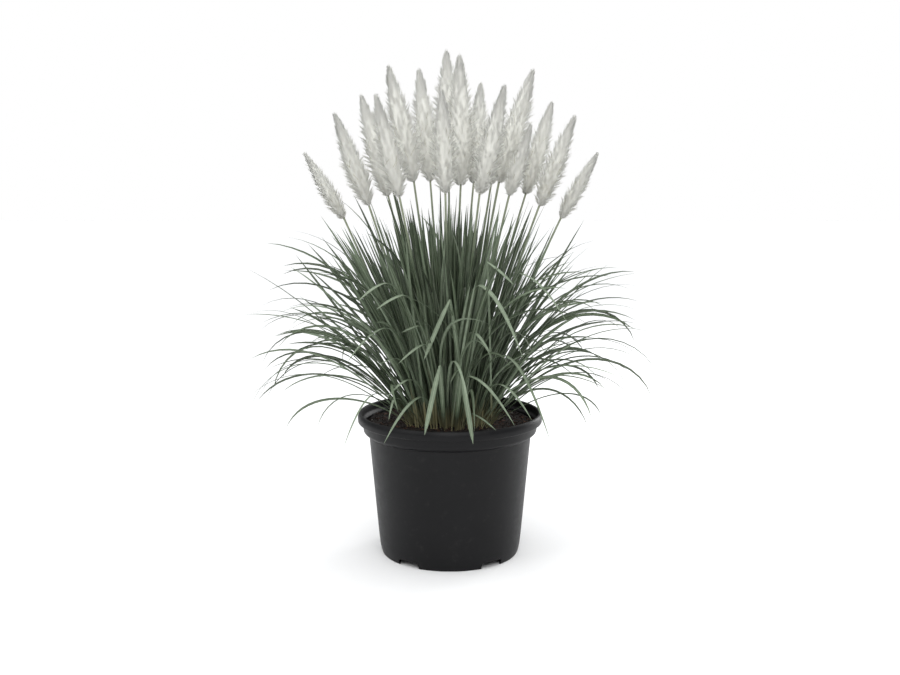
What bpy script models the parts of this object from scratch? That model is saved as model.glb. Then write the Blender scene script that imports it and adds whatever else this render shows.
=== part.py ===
"""Potted dwarf pampas grass: a black nursery pot, its potting mix, and one grass clump.

The clump is built from the pieces that a gardener would find on a bench: nineteen flower
stems with a feathery plume on each, eight upright leaf shoots between them, and twelve
arching leaf shoots round the outside. A shoot is a leaf sheath with the blades that grow
out of it, so it is one piece. Metres, +Z up, origin on the floor under the pot's axis.
"""

import math

import bmesh
import bpy
from mathutils import Vector

# ---- Nursery pot ------------------------------------------------------------------------
POT_HEIGHT = 0.278
RIM_RADIUS = 0.180  # outside of the rolled rim
COLLAR_RADIUS = 0.1695  # the stacking collar under the rim
WALL_TOP_RADIUS = 0.1580  # where the tapered wall meets the collar's shoulder
WALL_FOOT_RADIUS = 0.1385
FOOT_RADIUS = 0.1335  # the ring that stands on the floor
RIM_DEPTH = 0.019  # height of the rolled rim
COLLAR_DEPTH = 0.022
WALL_THICKNESS = 0.0025
BASE_UNDERSIDE = 0.0125  # the floor of the pot is raised on the foot ring
BASE_THICKNESS = 0.003
POT_STEPS = 30  # facets round the pot

NOTCH_COUNT = 5
NOTCH_HEIGHT = 0.0115
NOTCH_WIDTH = 0.046
FIRST_NOTCH_DEG = -90 + 180 / NOTCH_COUNT  # so that two notches stand either side of the front
DRAIN_HOLE_RADIUS = 0.008
DRAIN_RING_RADIUS = 0.098

# ---- Potting mix ------------------------------------------------------------------------
SOIL_TOP = 0.258  # 20 mm under the rim
SOIL_STEPS = 30
FIT_GAP = 0.0005  # between pieces that touch

# ---- How the clump spreads ---------------------------------------------------------------
# A stem or upright shoot that crosses the reference height at (x, y) passes every other
# height at (x, y) times spread(height), so no two of them cross.
REFERENCE_HEIGHT = 0.700
CROWN_SHARE = 0.28  # how close together they all stand at soil level
SPREAD_LINEAR = 0.50
SPREAD_CURVED = 0.22

# ---- Flower stems and plumes ---------------------------------------------------------------
STEM_FOOT_RADIUS = 0.0030
STEM_TOP_RADIUS = 0.0019
STEM_POINTS = 5
# x and y at the reference height, height of the plume's foot, length of the plume, and how
# far its tip leans sideways from the line of its stem
FLOWERS = (
    (-0.225, 0.010, 0.651, 0.126, -0.014),
    (-0.157, -0.060, 0.677, 0.170, 0.000),
    (-0.123, 0.070, 0.692, 0.200, 0.003),
    (-0.115, 0.150, 0.700, 0.165, 0.000),
    (-0.090, -0.150, 0.695, 0.176, 0.000),
    (-0.065, -0.010, 0.720, 0.218, -0.013),
    (-0.037, 0.074, 0.720, 0.224, -0.003),
    (-0.002, 0.136, 0.740, 0.252, -0.004),
    (-0.008, -0.160, 0.702, 0.176, -0.003),
    (0.020, 0.030, 0.712, 0.252, -0.015),
    (0.047, 0.180, 0.715, 0.214, -0.007),
    (0.078, 0.070, 0.715, 0.125, 0.000),
    (0.052, -0.150, 0.700, 0.186, 0.018),
    (0.089, 0.000, 0.718, 0.214, 0.018),
    (0.095, 0.145, 0.725, 0.140, 0.000),
    (0.108, -0.090, 0.696, 0.128, 0.006),
    (0.150, 0.080, 0.695, 0.184, -0.010),
    (0.175, -0.040, 0.676, 0.168, -0.003),
    (0.235, 0.010, 0.651, 0.126, 0.006),
)
PLUME_HALF_WIDTH = 0.13  # share of the plume's length
PLUME_STEPS = 7
# share of the length from the foot, share of the half width
PLUME_OUTLINE = ((0.07, 0.45), (0.22, 0.86), (0.40, 1.0), (0.62, 0.78), (0.84, 0.36))

# ---- Leaf blades ----------------------------------------------------------------------------
BLADE_WIDTH = 0.0085
BLADE_KEEL = 0.0022  # depth of the folded midrib
BLADE_STAGGER = 0.002  # each blade of a shoot starts this much above the one before
SHEATH_SIDES = 7

# ---- Upright shoots: x and y at the reference height, height of the tallest blade's tip
UPRIGHT_SHOOTS = (
    (-0.050, -0.085, 0.690),
    (0.015, -0.045, 0.715),
    (-0.155, 0.010, 0.680),
    (-0.055, 0.180, 0.700),
    (0.160, 0.020, 0.690),
    (-0.145, -0.120, 0.640),
    (0.115, -0.150, 0.650),
    (0.025, 0.090, 0.740),
)
UPRIGHT_FAN = 0.024  # how far the blades of one shoot stand apart at their tips
UPRIGHT_SHARES = (1.0, 0.90, 0.96, 0.84)  # heights of a shoot's four blades
UPRIGHT_POINTS = 5
UPRIGHT_SHEATH = (0.0048, 0.0036, 0.060)  # foot radius, top radius, length

# ---- Arching shoots -------------------------------------------------------------------------
ARCHING_COUNT = 12
ARCHING_RING = 0.084  # radius at which they stand in the soil
ARCHING_LEAN_DEG = 22
ARCHING_SHEATH = (0.0062, 0.0046, 0.052)
# turn from the shoot's heading, length, lean at the foot, lean at the tip, all in degrees and metres
ARCHING_BLADES = (
    (-12.0, 0.310, 34.0, 166.0),
    (-6.0, 0.425, 16.0, 86.0),
    (0.0, 0.365, 23.0, 130.0),
    (6.0, 0.460, 12.0, 60.0),
    (12.0, 0.340, 28.0, 154.0),
)
ARCHING_POINTS = 7
BLADE_BEND = 1.3  # above 1, most of the bend is towards the tip
# The blades of every third shoot have their full length, so that the clump spreads as far
# to the front and back as it does to the sides.
LENGTH_SHARES = (1.0, 0.93, 0.88)


# ---- Scene ------------------------------------------------------------------------------------
def clear_scene():
    for obj in list(bpy.data.objects):
        bpy.data.objects.remove(obj, do_unlink=True)


def new_collection(name, hidden=False):
    collection = bpy.data.collections.new(name)
    bpy.context.scene.collection.children.link(collection)
    collection.hide_render = hidden
    return collection


def new_material(name, colour, roughness):
    material = bpy.data.materials.new(name)
    material.use_nodes = True
    shader = material.node_tree.nodes["Principled BSDF"]
    shader.inputs["Base Color"].default_value = (*colour, 1.0)
    shader.inputs["Roughness"].default_value = roughness
    shader.inputs["Metallic"].default_value = 0.0
    return material


def new_object(name, data, collection, material=None):
    obj = bpy.data.objects.new(name, data)
    collection.objects.link(obj)
    if material is not None:
        data.materials.append(material)
    return obj


def make_helper(obj):
    obj.hide_render = True
    obj.display_type = "WIRE"
    return obj


# ---- Shapes that repeat -------------------------------------------------------------------------
def turned(name, profile, steps, collection, material):
    """A profile of (radius, height) points turned about Z. It runs down the outer side."""
    mesh = bpy.data.meshes.new(name)
    edges = [(i, i + 1) for i in range(len(profile) - 1)]
    mesh.from_pydata([(radius, 0.0, height) for radius, height in profile], edges, [])
    obj = new_object(name, mesh, collection, material)
    screw = obj.modifiers.new("Turn", "SCREW")
    screw.steps = steps
    screw.render_steps = steps
    screw.use_merge_vertices = True
    screw.merge_threshold = 0.0001
    screw.use_smooth_shade = True
    return obj


def poly_curve(name, points, radii, collection, material=None):
    """A poly spline through the points, with a radius at each."""
    data = bpy.data.curves.new(name, "CURVE")
    data.dimensions = "3D"
    data.twist_mode = "MINIMUM"
    data.use_fill_caps = True
    spline = data.splines.new("POLY")
    spline.points.add(len(points) - 1)
    for point, place, radius in zip(spline.points, points, radii):
        point.co = (*place, 1.0)
        point.radius = radius
    return new_object(name, data, collection, material)


def blade_section(collection):
    """The folded cross-section of a blade: wide and nearly flat above, with a keel below."""
    data = bpy.data.curves.new("blade_section", "CURVE")
    data.dimensions = "2D"
    spline = data.splines.new("POLY")
    spline.points.add(2)
    half, keel = BLADE_WIDTH / 2, BLADE_KEEL
    corners = ((-half, keel * 0.3), (0.0, -keel * 0.7), (half, keel * 0.3))
    for point, (x, y) in zip(spline.points, corners):
        point.co = (x, y, 0.0, 1.0)
    spline.use_cyclic_u = True
    return make_helper(new_object("blade_section", data, collection))


def as_mesh(curve, collection):
    """The curve's solid as a mesh with its caps welded on, in place of the curve."""
    graph = bpy.context.evaluated_depsgraph_get()
    mesh = bpy.data.meshes.new_from_object(curve.evaluated_get(graph))
    name, place = curve.name, curve.matrix_world.copy()
    bpy.data.objects.remove(curve, do_unlink=True)
    work = bmesh.new()
    work.from_mesh(mesh)
    bmesh.ops.remove_doubles(work, verts=work.verts, dist=0.00002)
    bmesh.ops.recalc_face_normals(work, faces=work.faces)
    work.to_mesh(mesh)
    work.free()
    obj = new_object(name, mesh, collection)
    obj.matrix_world = place
    return obj


def join_by_union(body, pieces):
    for piece in pieces:
        union = body.modifiers.new(piece.name, "BOOLEAN")
        union.operation = "UNION"
        union.solver = "EXACT"
        union.object = make_helper(piece)


# ---- Pot ------------------------------------------------------------------------------------------
def pot_profile():
    """The pot's section, from the middle of its floor up the inside, over the rim and down."""
    rim_foot = POT_HEIGHT - RIM_DEPTH
    collar_foot = rim_foot - COLLAR_DEPTH
    wall = WALL_THICKNESS
    floor_top = BASE_UNDERSIDE + BASE_THICKNESS
    return (
        (0.0, floor_top),
        (WALL_FOOT_RADIUS - wall - 0.001, floor_top),
        (WALL_TOP_RADIUS - wall, collar_foot - 0.004),
        (COLLAR_RADIUS - wall, collar_foot + 0.005),
        (RIM_RADIUS - 0.0115, POT_HEIGHT),
        (RIM_RADIUS - 0.0050, POT_HEIGHT),
        (RIM_RADIUS, POT_HEIGHT - 0.0080),
        (RIM_RADIUS - 0.0015, rim_foot + 0.001),
        (COLLAR_RADIUS, rim_foot - 0.001),
        (COLLAR_RADIUS - 0.0010, collar_foot + 0.004),
        (WALL_TOP_RADIUS, collar_foot - 0.002),
        (WALL_FOOT_RADIUS, 0.018),
        (FOOT_RADIUS, 0.0),
        (FOOT_RADIUS - 0.0040, 0.0),
        (FOOT_RADIUS - 0.0040, BASE_UNDERSIDE),
        (0.0, BASE_UNDERSIDE),
    )


def notch_cutter(number, collection):
    """A box that cuts one drainage notch through the foot ring."""
    angle = math.radians(FIRST_NOTCH_DEG + 360 / NOTCH_COUNT * number)
    mesh = bpy.data.meshes.new(f"notch_{number + 1}")
    work = bmesh.new()
    bmesh.ops.create_cube(work, size=1.0)
    depth = 0.036
    bmesh.ops.scale(work, vec=(depth, NOTCH_WIDTH, 2 * NOTCH_HEIGHT), verts=work.verts)
    work.to_mesh(mesh)
    work.free()
    cutter = new_object(mesh.name, mesh, collection)
    cutter.location = (FOOT_RADIUS * math.cos(angle), FOOT_RADIUS * math.sin(angle), 0.0)
    cutter.rotation_euler.z = angle
    return make_helper(cutter)


def drain_cutter(name, x, y, collection):
    mesh = bpy.data.meshes.new(name)
    work = bmesh.new()
    bmesh.ops.create_cone(
        work,
        segments=8,
        radius1=DRAIN_HOLE_RADIUS,
        radius2=DRAIN_HOLE_RADIUS,
        depth=6 * BASE_THICKNESS,
        cap_ends=True,
    )
    work.to_mesh(mesh)
    work.free()
    cutter = new_object(name, mesh, collection)
    cutter.location = (x, y, BASE_UNDERSIDE)
    return make_helper(cutter)


def build_pot(parts, cutters, material):
    pot = turned("nursery_pot", pot_profile(), POT_STEPS, parts, material)
    tools = [notch_cutter(number, cutters) for number in range(NOTCH_COUNT)]
    tools.append(drain_cutter("drain_centre", 0.0, 0.0, cutters))
    for number in range(NOTCH_COUNT):
        angle = math.radians(FIRST_NOTCH_DEG + 360 / NOTCH_COUNT * (number + 0.5))
        x, y = DRAIN_RING_RADIUS * math.cos(angle), DRAIN_RING_RADIUS * math.sin(angle)
        tools.append(drain_cutter(f"drain_{number + 1}", x, y, cutters))
    for tool in tools:
        cut = pot.modifiers.new(tool.name, "BOOLEAN")
        cut.operation = "DIFFERENCE"
        cut.solver = "EXACT"
        cut.object = tool
    return pot


# ---- Potting mix -------------------------------------------------------------------------------------
def build_soil(parts, material):
    """The root ball: it fills the pot from its floor to 20 mm under the rim."""
    collar_foot = POT_HEIGHT - RIM_DEPTH - COLLAR_DEPTH
    wall = WALL_THICKNESS + FIT_GAP * 2
    foot = BASE_UNDERSIDE + BASE_THICKNESS + FIT_GAP
    profile = (
        (0.0, SOIL_TOP),
        (COLLAR_RADIUS - wall - 0.0035, SOIL_TOP),
        (COLLAR_RADIUS - wall - 0.0035, collar_foot + 0.006),
        (WALL_TOP_RADIUS - wall - 0.0020, collar_foot - 0.004),
        (WALL_FOOT_RADIUS - wall - 0.0025, foot),
        (0.0, foot),
    )
    return turned("potting_soil", profile, SOIL_STEPS, parts, material)


# ---- Where stems and blades run ------------------------------------------------------------------------
def spread(height):
    t = (height - SOIL_TOP) / (REFERENCE_HEIGHT - SOIL_TOP)
    return CROWN_SHARE + SPREAD_LINEAR * t + SPREAD_CURVED * t * t


def on_stem(x, y, height):
    return Vector((x * spread(height), y * spread(height), height))


def arching_path(foot, heading, length, foot_lean, tip_lean, count):
    """Points along a blade that leaves its foot near upright and bends over, all in one plane."""
    steps = 60
    outward = Vector((math.cos(heading), math.sin(heading), 0.0))
    place = foot.copy()
    path = [place.copy()]
    for i in range(steps):
        lean = foot_lean + (tip_lean - foot_lean) * ((i + 0.5) / steps) ** BLADE_BEND
        place += (outward * math.sin(lean) + Vector((0, 0, math.cos(lean)))) * (length / steps)
        path.append(place.copy())
    return [path[round(i * steps / (count - 1))] for i in range(count)]


def blade_radii(count):
    """A blade's width along it, as shares: slim in the sheath, full at a third, then to a point."""
    shares = []
    for i in range(count):
        t = i / (count - 1)
        rise = 0.45 + 0.55 * min(1.0, t / 0.3)
        fall = 1.0 if t < 0.45 else 1.0 - ((t - 0.45) / 0.55) ** 1.5 * 0.88
        shares.append(rise * fall)
    return shares


# ---- Flower stems and plumes ------------------------------------------------------------------------------
def build_stem(number, x, y, plume_foot, parts, material):
    foot, top = SOIL_TOP + 0.0014, plume_foot - 0.0008
    heights = [foot + (top - foot) * i / (STEM_POINTS - 1) for i in range(STEM_POINTS)]
    taper = STEM_TOP_RADIUS / STEM_FOOT_RADIUS
    radii = [1.0 + (taper - 1.0) * i / (STEM_POINTS - 1) for i in range(STEM_POINTS)]
    points = [on_stem(x, y, height) for height in heights]
    stem = poly_curve(f"flower_stem_{number:02d}", points, radii, parts, material)
    stem.data.bevel_depth = STEM_FOOT_RADIUS
    stem.data.bevel_resolution = 1
    return stem


def build_plume(number, x, y, plume_foot, length, lean, parts, material):
    """The outer shape of one feathery plume: a spindle from the top of its stem to its tip."""
    foot = on_stem(x, y, plume_foot)
    tip = on_stem(x, y, plume_foot + length) + Vector((lean, 0.0, 0.0))
    half_width = PLUME_HALF_WIDTH * length
    axis = (tip - foot).length
    profile = [(0.0, axis)]
    profile += [(half_width * width, axis * along) for along, width in reversed(PLUME_OUTLINE)]
    profile += [(STEM_TOP_RADIUS, 0.0), (0.0, 0.0)]
    plume = turned(f"plume_{number:02d}", profile, PLUME_STEPS, parts, material)
    plume.rotation_mode = "QUATERNION"
    plume.rotation_quaternion = (tip - foot).to_track_quat("Z", "Y")
    plume.location = foot
    return plume


# ---- Leaf shoots --------------------------------------------------------------------------------------------
def build_sheath(name, foot, heading, lean, sizes, parts, material):
    """The wrapped leaf base that a shoot's blades grow from."""
    foot_radius, top_radius, length = sizes
    mesh = bpy.data.meshes.new(name)
    work = bmesh.new()
    bmesh.ops.create_cone(
        work,
        segments=SHEATH_SIDES,
        radius1=foot_radius,
        radius2=top_radius,
        depth=length,
        cap_ends=True,
    )
    bmesh.ops.translate(work, vec=(0.0, 0.0, length / 2), verts=work.verts)
    work.to_mesh(mesh)
    work.free()
    sheath = new_object(name, mesh, parts, material)
    sheath.rotation_euler = (0.0, lean, heading)
    sheath.location = foot + Vector((0.0, 0.0, foot_radius * math.sin(lean) + FIT_GAP))
    return sheath


def build_blade(name, points, section, cutters, level=False):
    """A blade through the points. A level one keeps its wide side level as it arches."""
    blade = poly_curve(name, points, blade_radii(len(points)), cutters)
    blade.data.twist_mode = "Z_UP" if level else "MINIMUM"
    blade.data.bevel_mode = "OBJECT"
    blade.data.bevel_object = section
    return as_mesh(blade, cutters)


def build_upright_shoot(number, x, y, tip_height, section, parts, cutters, material):
    """Four blades that stand between the flower stems and part a little as they rise."""
    name = f"upright_shoot_{number:02d}"
    foot = on_stem(x, y, SOIL_TOP)
    above = on_stem(x, y, SOIL_TOP + UPRIGHT_SHEATH[2])
    heading = math.atan2(y, x)
    lean = math.atan2((above - foot).xy.length, UPRIGHT_SHEATH[2])
    sheath = build_sheath(name, foot, heading, lean, UPRIGHT_SHEATH, parts, material)
    blades = []
    for i, share in enumerate(UPRIGHT_SHARES):
        side = heading + math.radians(45 + 90 * i)
        fan = Vector((math.cos(side), math.sin(side), 0.0)) * UPRIGHT_FAN
        bottom = SOIL_TOP + 0.010 + BLADE_STAGGER * i
        top = SOIL_TOP + (tip_height - SOIL_TOP) * share
        points = []
        for step in range(UPRIGHT_POINTS):
            t = step / (UPRIGHT_POINTS - 1)
            apart = 0.03 + 0.47 * t + 0.5 * t * t
            points.append(on_stem(x, y, bottom + (top - bottom) * t) + fan * apart)
        blades.append(build_blade(f"{name}_blade_{i + 1}", points, section, cutters))
    join_by_union(sheath, blades)
    return sheath


def build_arching_shoot(number, section, parts, cutters, material):
    """Five blades that rise from the edge of the clump and arch out over the pot's rim."""
    name = f"arching_shoot_{number + 1:02d}"
    heading = math.radians(360 / ARCHING_COUNT * number)
    foot = Vector((math.cos(heading), math.sin(heading), 0.0)) * ARCHING_RING
    foot.z = SOIL_TOP
    lean = math.radians(ARCHING_LEAN_DEG)
    sheath = build_sheath(name, foot, heading, lean, ARCHING_SHEATH, parts, material)
    share = LENGTH_SHARES[number % len(LENGTH_SHARES)]
    blades = []
    for i, (turn, length, foot_lean, tip_lean) in enumerate(ARCHING_BLADES):
        points = arching_path(
            foot + Vector((0.0, 0.0, 0.010 + BLADE_STAGGER * i)),
            heading + math.radians(turn),
            length * share,
            math.radians(foot_lean),
            math.radians(tip_lean),
            ARCHING_POINTS,
        )
        blades.append(build_blade(f"{name}_blade_{i + 1}", points, section, cutters, level=True))
    join_by_union(sheath, blades)
    return sheath


# ---- The whole object -----------------------------------------------------------------------------------------
def main():
    clear_scene()
    parts = new_collection("potted_pampas_grass")
    cutters = new_collection("cutters_and_guides", hidden=True)
    plastic = new_material("black_plastic", (0.022, 0.022, 0.025), 0.45)
    soil = new_material("potting_mix", (0.020, 0.013, 0.009), 0.95)
    stem = new_material("flower_stem", (0.17, 0.22, 0.13), 0.55)
    plume = new_material("plume_down", (0.72, 0.72, 0.68), 0.90)
    leaf = new_material("leaf_blade", (0.11, 0.16, 0.12), 0.50)

    build_pot(parts, cutters, plastic)
    build_soil(parts, soil)
    for number, (x, y, plume_foot, length, lean) in enumerate(FLOWERS, start=1):
        build_stem(number, x, y, plume_foot, parts, stem)
        build_plume(number, x, y, plume_foot, length, lean, parts, plume)
    section = blade_section(cutters)
    for number, (x, y, tip_height) in enumerate(UPRIGHT_SHOOTS, start=1):
        build_upright_shoot(number, x, y, tip_height, section, parts, cutters, leaf)
    for number in range(ARCHING_COUNT):
        build_arching_shoot(number, section, parts, cutters, leaf)


main()
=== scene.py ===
"""Potted dwarf pampas grass: the surfaces, materials, lights and camera round its fixed solids.

Each operator makes one kind of piece and stands it in for the solids of the same name. All
places are in metres in the solids' own frame: the origin is on the floor under the pot.
"""

import math

import bmesh
import bpy
import numpy as np
from bpy.props import FloatProperty, FloatVectorProperty, IntProperty, PointerProperty
from mathutils import Matrix, Vector, noise


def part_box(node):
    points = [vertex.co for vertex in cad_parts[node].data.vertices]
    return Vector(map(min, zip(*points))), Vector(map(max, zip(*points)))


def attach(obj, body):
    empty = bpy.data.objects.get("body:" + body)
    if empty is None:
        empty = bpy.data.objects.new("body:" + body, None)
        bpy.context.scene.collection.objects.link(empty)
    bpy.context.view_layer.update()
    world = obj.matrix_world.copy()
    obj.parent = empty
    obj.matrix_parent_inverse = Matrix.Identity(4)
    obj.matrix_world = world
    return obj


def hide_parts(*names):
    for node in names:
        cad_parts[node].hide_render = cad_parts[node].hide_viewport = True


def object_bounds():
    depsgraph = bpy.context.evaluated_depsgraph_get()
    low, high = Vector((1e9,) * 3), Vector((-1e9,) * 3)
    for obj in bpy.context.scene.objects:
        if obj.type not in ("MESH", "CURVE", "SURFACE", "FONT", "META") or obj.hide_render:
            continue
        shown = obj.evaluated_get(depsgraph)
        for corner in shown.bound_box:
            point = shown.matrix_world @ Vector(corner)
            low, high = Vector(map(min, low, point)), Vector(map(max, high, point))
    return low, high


bl_info = {
    "name": "Potted Pampas Grass",
    "version": (1, 0, 0),
    "blender": (4, 5, 0),
    "location": "View3D > Sidebar > Potted Grass",
    "description": "Makes a dwarf pampas grass in a black nursery pot, piece by piece",
    "category": "Add Mesh",
}

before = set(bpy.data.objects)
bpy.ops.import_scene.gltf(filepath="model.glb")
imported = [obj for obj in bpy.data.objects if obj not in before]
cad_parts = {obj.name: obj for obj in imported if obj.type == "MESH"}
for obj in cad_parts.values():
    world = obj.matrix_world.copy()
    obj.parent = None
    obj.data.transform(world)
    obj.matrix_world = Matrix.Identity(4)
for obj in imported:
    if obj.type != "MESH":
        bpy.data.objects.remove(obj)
SOLIDS_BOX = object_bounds()

BODY = "root"  # nothing on a potted plant turns or slides, so all of it is one body
SEED = 24

# Where the stems run: one that passes the reference height at (x, y) passes every other
# height at (x, y) times spread(height).
SOIL_TOP = 0.258
REFERENCE_HEIGHT = 0.700
LEAF_FOOT = SOIL_TOP - 0.004  # blades start a little under the surface

# x and y at the reference height, height of the plume's foot, length of the plume, and how
# far its tip leans sideways from the line of its stem
FLOWERS = (
    (-0.225, 0.010, 0.651, 0.126, -0.014),
    (-0.157, -0.060, 0.677, 0.170, 0.000),
    (-0.123, 0.070, 0.692, 0.200, 0.003),
    (-0.115, 0.150, 0.700, 0.165, 0.000),
    (-0.090, -0.150, 0.695, 0.176, 0.000),
    (-0.065, -0.010, 0.720, 0.218, -0.013),
    (-0.037, 0.074, 0.720, 0.224, -0.003),
    (-0.002, 0.136, 0.740, 0.252, -0.004),
    (-0.008, -0.160, 0.702, 0.176, -0.003),
    (0.020, 0.030, 0.712, 0.252, -0.015),
    (0.047, 0.180, 0.715, 0.214, -0.007),
    (0.078, 0.070, 0.715, 0.125, 0.000),
    (0.052, -0.150, 0.700, 0.186, 0.018),
    (0.089, 0.000, 0.718, 0.214, 0.018),
    (0.095, 0.145, 0.725, 0.140, 0.000),
    (0.108, -0.090, 0.696, 0.128, 0.006),
    (0.150, 0.080, 0.695, 0.184, -0.010),
    (0.175, -0.040, 0.676, 0.168, -0.003),
    (0.235, 0.010, 0.651, 0.126, 0.006),
)

# The crown has grown as six clumps with gaps between them: their headings in degrees.
CLUMP_HEADINGS = (270.0, 328.0, 30.0, 90.0, 150.0, 212.0)

# Blades that stand out at the front, each in its shoot's number: x of the foot, apex, tip,
# width, and whether it is folded sharply at the apex
FRONT_BLADES = (
    (10, 0.035, (0.000, -0.155, 0.515), (-0.045, -0.180, 0.410), 0.0075, True),
    (10, 0.010, (0.020, -0.140, 0.382), (0.040, -0.195, 0.265), 0.0090, True),
    (10, -0.010, (-0.018, -0.135, 0.395), (-0.045, -0.150, 0.270), 0.0090, True),
    (10, 0.010, (0.050, -0.135, 0.537), (0.125, -0.195, 0.415), 0.0085, False),
    (11, 0.080, (0.065, -0.140, 0.578), (0.110, -0.150, 0.537), 0.0050, True),
    (11, 0.060, (0.120, -0.100, 0.555), (0.205, -0.160, 0.468), 0.0065, False),
    (10, 0.015, (0.040, -0.135, 0.455), (0.070, -0.170, 0.420), 0.0065, False),
    (11, 0.040, (0.095, -0.130, 0.412), (0.175, -0.180, 0.265), 0.0065, False),
    (10, 0.020, (0.035, -0.115, 0.372), (0.115, -0.145, 0.285), 0.0060, False),
    (11, 0.050, (0.090, -0.110, 0.356), (0.145, -0.140, 0.295), 0.0060, False),
    (9, -0.045, (-0.110, -0.135, 0.541), (-0.160, -0.165, 0.508), 0.0080, False),
    (10, -0.030, (-0.080, -0.145, 0.521), (-0.128, -0.168, 0.495), 0.0080, False),
    (10, -0.025, (-0.055, -0.130, 0.465), (-0.085, -0.150, 0.453), 0.0060, False),
    (9, -0.065, (-0.115, -0.100, 0.457), (-0.180, -0.150, 0.400), 0.0070, False),
    (10, -0.025, (-0.045, -0.130, 0.432), (-0.090, -0.160, 0.400), 0.0060, False),
    (9, -0.060, (-0.100, -0.120, 0.405), (-0.125, -0.145, 0.396), 0.0055, False),
    (10, -0.035, (-0.075, -0.130, 0.368), (-0.110, -0.155, 0.340), 0.0060, False),
    (10, -0.030, (-0.055, -0.120, 0.334), (-0.115, -0.185, 0.263), 0.0065, False),
    (9, -0.080, (-0.135, -0.095, 0.336), (-0.190, -0.145, 0.243), 0.0055, False),
    (10, 0.025, (0.045, -0.110, 0.300), (0.082, -0.140, 0.276), 0.0050, False),
    (9, -0.075, (-0.100, -0.100, 0.327), (-0.110, -0.120, 0.290), 0.0055, False),
)
# Each is moved by this much, which brings it in front of the blades that grow behind it.
APEX_MOVE = (0.0, -0.055, 0.006)
TIP_MOVE = (0.0, -0.055, 0.009)

USUAL_PLUME = 0.2  # length of the plume that the settings' tufts and hairs are counted on
BODY_SHARE = 0.61  # of a plume's half width, taken up by its packed down
GOLDEN_ANGLE = 2.399963  # turning by this from tuft to tuft leaves no rows of tufts


# ---- Sizes and colours that a user may change ------------
def linear(hex_colour):
    """An sRGB hex colour such as #4A5A4A as linear red, green and blue."""
    parts = [int(hex_colour[i : i + 2], 16) / 255 for i in (1, 3, 5)]
    return tuple(c / 12.92 if c <= 0.04045 else ((c + 0.055) / 1.055) ** 2.4 for c in parts)


def colour_property(name, description, hex_colour):
    return FloatVectorProperty(
        name=name,
        description=description,
        subtype="COLOR",
        size=3,
        min=0.0,
        max=1.0,
        default=linear(hex_colour),
    )


def length_property(name, description, default):
    return FloatProperty(
        name=name, description=description, default=default, min=0.0, unit="LENGTH", precision=4
    )


def count_property(name, description, default):
    return IntProperty(name=name, description=description, default=default, min=0)


class PotSettings(bpy.types.PropertyGroup):
    height: length_property("Height", "Floor to the top of the rim", 0.278)
    rim_radius: length_property("Rim radius", "Outside of the rolled rim", 0.180)
    collar_radius: length_property("Collar radius", "Outside of the stacking collar", 0.1695)
    wall_top_radius: length_property("Wall top radius", "Wall just under the collar", 0.158)
    wall_foot_radius: length_property("Wall foot radius", "Wall just above its foot", 0.1385)
    foot_radius: length_property("Foot radius", "Outside of the ring on the floor", 0.1335)
    wall: length_property("Wall thickness", "Thickness of the moulding", 0.0025)
    notch_width: length_property("Notch width", "Width of a drainage notch", 0.046)
    notch_height: length_property("Notch height", "Height of a drainage notch", 0.0115)
    colour: colour_property("Colour", "Black masterbatch in the plastic", "#09090B")


class SoilSettings(bpy.types.PropertyGroup):
    radius: length_property("Radius", "Edge of the bed, just inside the pot", 0.1640)
    crumbs: count_property("Crumbs", "Loose crumbs on the bed", 2600)
    chips: count_property("Bark chips", "Chips of bark on the bed", 260)
    perlite: count_property("Perlite", "Grains of perlite on the bed", 46)
    fibres: count_property("Fibres", "Root and peat fibres", 150)
    peat_colour: colour_property("Peat", "Moist peat", "#1E1612")
    bark_colour: colour_property("Bark", "Composted bark", "#3A2418")


class LeafSettings(bpy.types.PropertyGroup):
    width: length_property("Width", "Full width of a broad blade", 0.0086)
    length: length_property("Length", "Length of the longest blades", 0.475)
    upright_count: count_property("Upright blades", "Blades in each upright shoot", 42)
    arching_count: count_property("Arching blades", "Blades in a full arching shoot", 24)
    colour: colour_property("Blade", "Grey-green of a living blade", "#4D5B44")
    bloom_colour: colour_property("Bloom", "Waxy bloom on the upper face", "#818F79")
    base_colour: colour_property("Base", "Straw colour where a blade leaves the soil", "#A59D76")


class PlumeSettings(bpy.types.PropertyGroup):
    half_width: FloatProperty(
        name="Half width", description="Share of a plume's length", default=0.130
    )
    tufts: count_property("Tufts", "Tufts on a plume 0.2 m long", 300)
    hairs: count_property("Hairs", "Hairs in each tuft", 17)
    loose_hairs: count_property("Loose hairs", "Hairs on a plume 0.2 m long", 420)
    branchlets: count_property("Branchlets", "Branchlets that show", 14)
    down_colour: colour_property("Down", "Silky white down", "#FBFBF6")
    core_colour: colour_property("Core", "Straw-coloured branchlets and husks", "#CECBB8")


class StemSettings(bpy.types.PropertyGroup):
    foot_radius: length_property("Foot radius", "Stem where it leaves the soil", 0.0030)
    top_radius: length_property("Top radius", "Stem under its plume", 0.0019)
    colour: colour_property("Colour", "Green of the flower stem", "#66735C")


class StageSettings(bpy.types.PropertyGroup):
    floor_size: length_property("Floor size", "Side of the paper floor", 30.0)
    floor_colour: colour_property("Floor", "White background paper", "#E5E5E5")


SETTINGS = {
    "grass_pot": PotSettings,
    "grass_soil": SoilSettings,
    "grass_leaf": LeafSettings,
    "grass_plume": PlumeSettings,
    "grass_stem": StemSettings,
    "grass_stage": StageSettings,
}


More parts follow.
